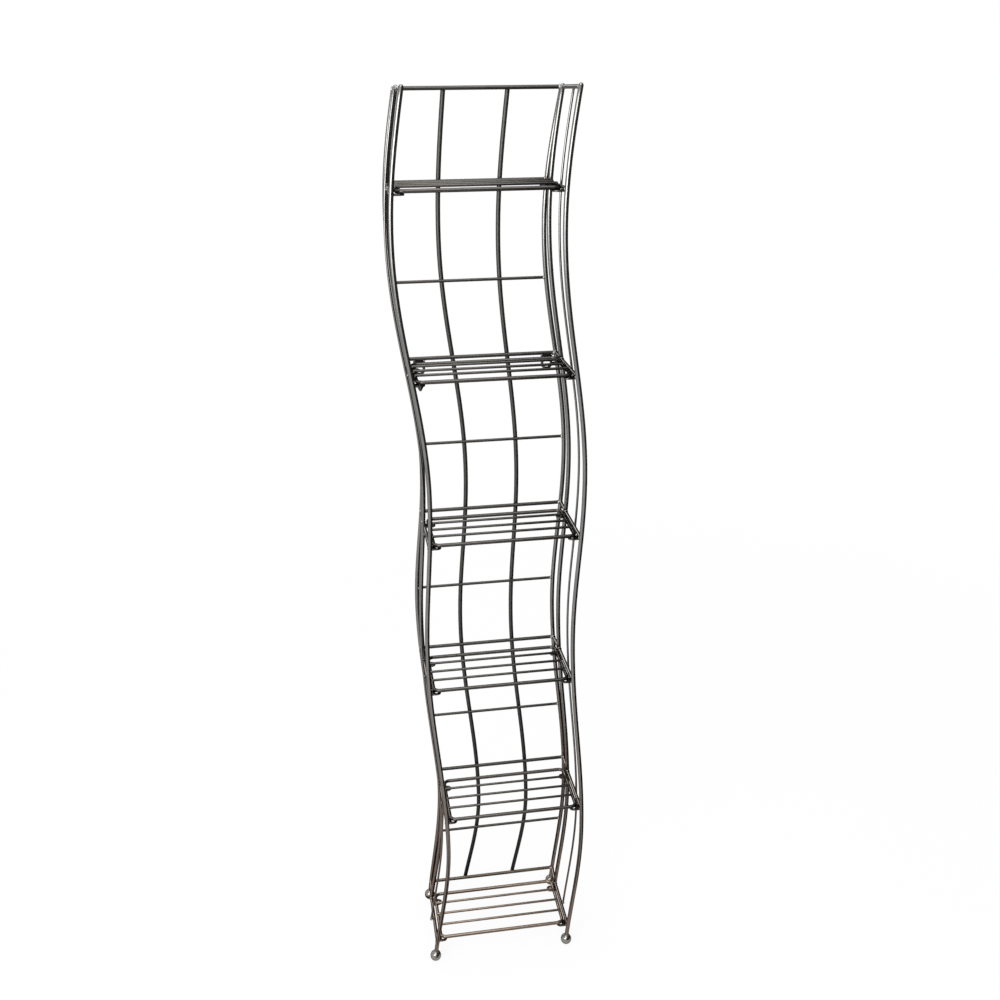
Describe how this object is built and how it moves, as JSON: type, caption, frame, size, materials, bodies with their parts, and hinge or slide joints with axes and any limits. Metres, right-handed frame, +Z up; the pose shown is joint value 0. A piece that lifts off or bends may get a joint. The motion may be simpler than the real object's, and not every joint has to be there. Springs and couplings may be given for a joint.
{
  "type": "media storage tower",
  "caption": "Tall open tower of bent steel rod: wavy side frames and a wavy back panel carry level wire shelves for media cases, on ball feet.",
  "frame": {"origin": "floor level, under the middle of the overall box", "axes": "+Z up; the open front faces -Y and the back panel is at +Y; the rods bend along X"},
  "size_m": [0.248, 0.1468, 1.223],
  "materials": {
    "upright": "dark gunmetal, glossy",
    "bar": "dark gunmetal, glossy",
    "shelf": "dark gunmetal, semi-gloss",
    "foot": "dark gunmetal, polished"
  },
  "bodies": {
    "root": {"left_front_upright": "upright", "left_rear_upright": "upright", "left_centre_wire": "upright", "left_panel_rod": "upright", "left_top_crossbar": "bar", "left_crossbar_1": "bar", "left_panel_link_1": "bar", "left_crossbar_2": "bar", "left_panel_link_2": "bar", "left_crossbar_3": "bar", "left_panel_link_3": "bar", "left_crossbar_4": "bar", "left_panel_link_4": "bar", "left_crossbar_5": "bar", "left_panel_link_5": "bar", "left_crossbar_6": "bar", "left_panel_link_6": "bar", "left_front_foot": "foot", "left_rear_foot": "foot", "right_front_upright": "upright", "right_rear_upright": "upright", "right_centre_wire": "upright", "right_panel_rod": "upright", "right_top_crossbar": "bar", "right_crossbar_1": "bar", "right_panel_link_1": "bar", "right_crossbar_2": "bar", "right_panel_link_2": "bar", "right_crossbar_3": "bar", "right_panel_link_3": "bar", "right_crossbar_4": "bar", "right_panel_link_4": "bar", "right_crossbar_5": "bar", "right_panel_link_5": "bar", "right_crossbar_6": "bar", "right_panel_link_6": "bar", "right_front_foot": "foot", "right_rear_foot": "foot", "panel_vertical_left": "upright", "panel_vertical_right": "upright", "panel_top_bar": "bar", "panel_bar_1": "bar", "shelf_1": "shelf", "panel_bar_2": "bar", "shelf_2": "shelf", "panel_bar_3": "bar", "shelf_3": "shelf", "panel_bar_4": "bar", "shelf_4": "shelf", "panel_bar_5": "bar", "shelf_5": "shelf", "panel_bar_6": "bar", "shelf_6": "shelf", "panel_thin_bar_1": "bar", "panel_thin_bar_2": "bar", "panel_thin_bar_3": "bar", "panel_thin_bar_4": "bar", "panel_thin_bar_5": "bar"}
  },
  "joints": []
}
